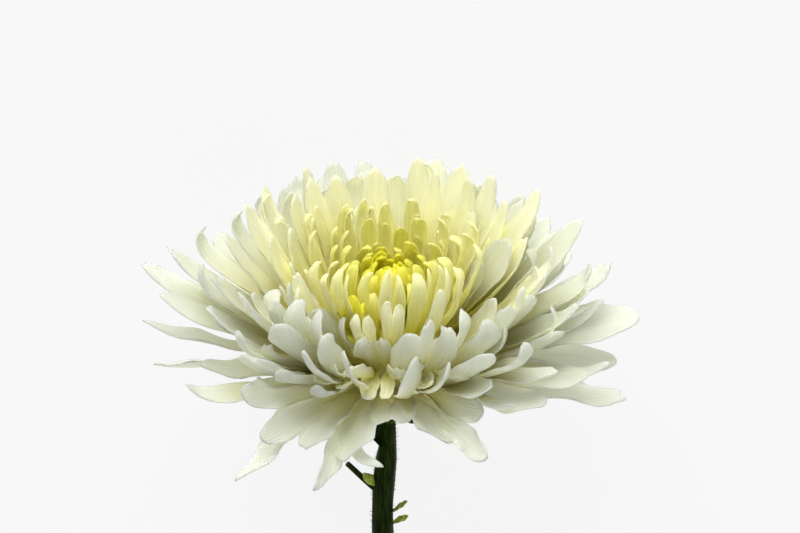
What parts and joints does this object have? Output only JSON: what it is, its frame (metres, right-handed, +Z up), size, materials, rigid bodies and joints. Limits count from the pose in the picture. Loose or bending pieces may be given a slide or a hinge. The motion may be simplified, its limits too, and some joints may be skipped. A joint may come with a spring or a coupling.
{
  "type": "chrysanthemum flower",
  "caption": "White decorative chrysanthemum bloom with a yellow-green heart on a cut green stem, lying on a surface.",
  "frame": {"origin": "middle of the whole flower's box on the surface it lies on", "axes": "+Z up from the surface, +Y from the cut end of the stem to the open face of the bloom, +X across the bloom to its right as seen from the face's upper side"},
  "size_m": [0.105, 0.1668, 0.0756],
  "materials": {
    "ray_florets": "soft white petal, matt with a faint sheen",
    "heart_florets": "pale yellow-green young petal, matt",
    "stem": "dark green living stem, slightly waxy"
  },
  "bodies": {
    "root": {"ray_florets": "ray_florets", "heart_florets": "heart_florets", "stem": "stem"}
  },
  "joints": []
}
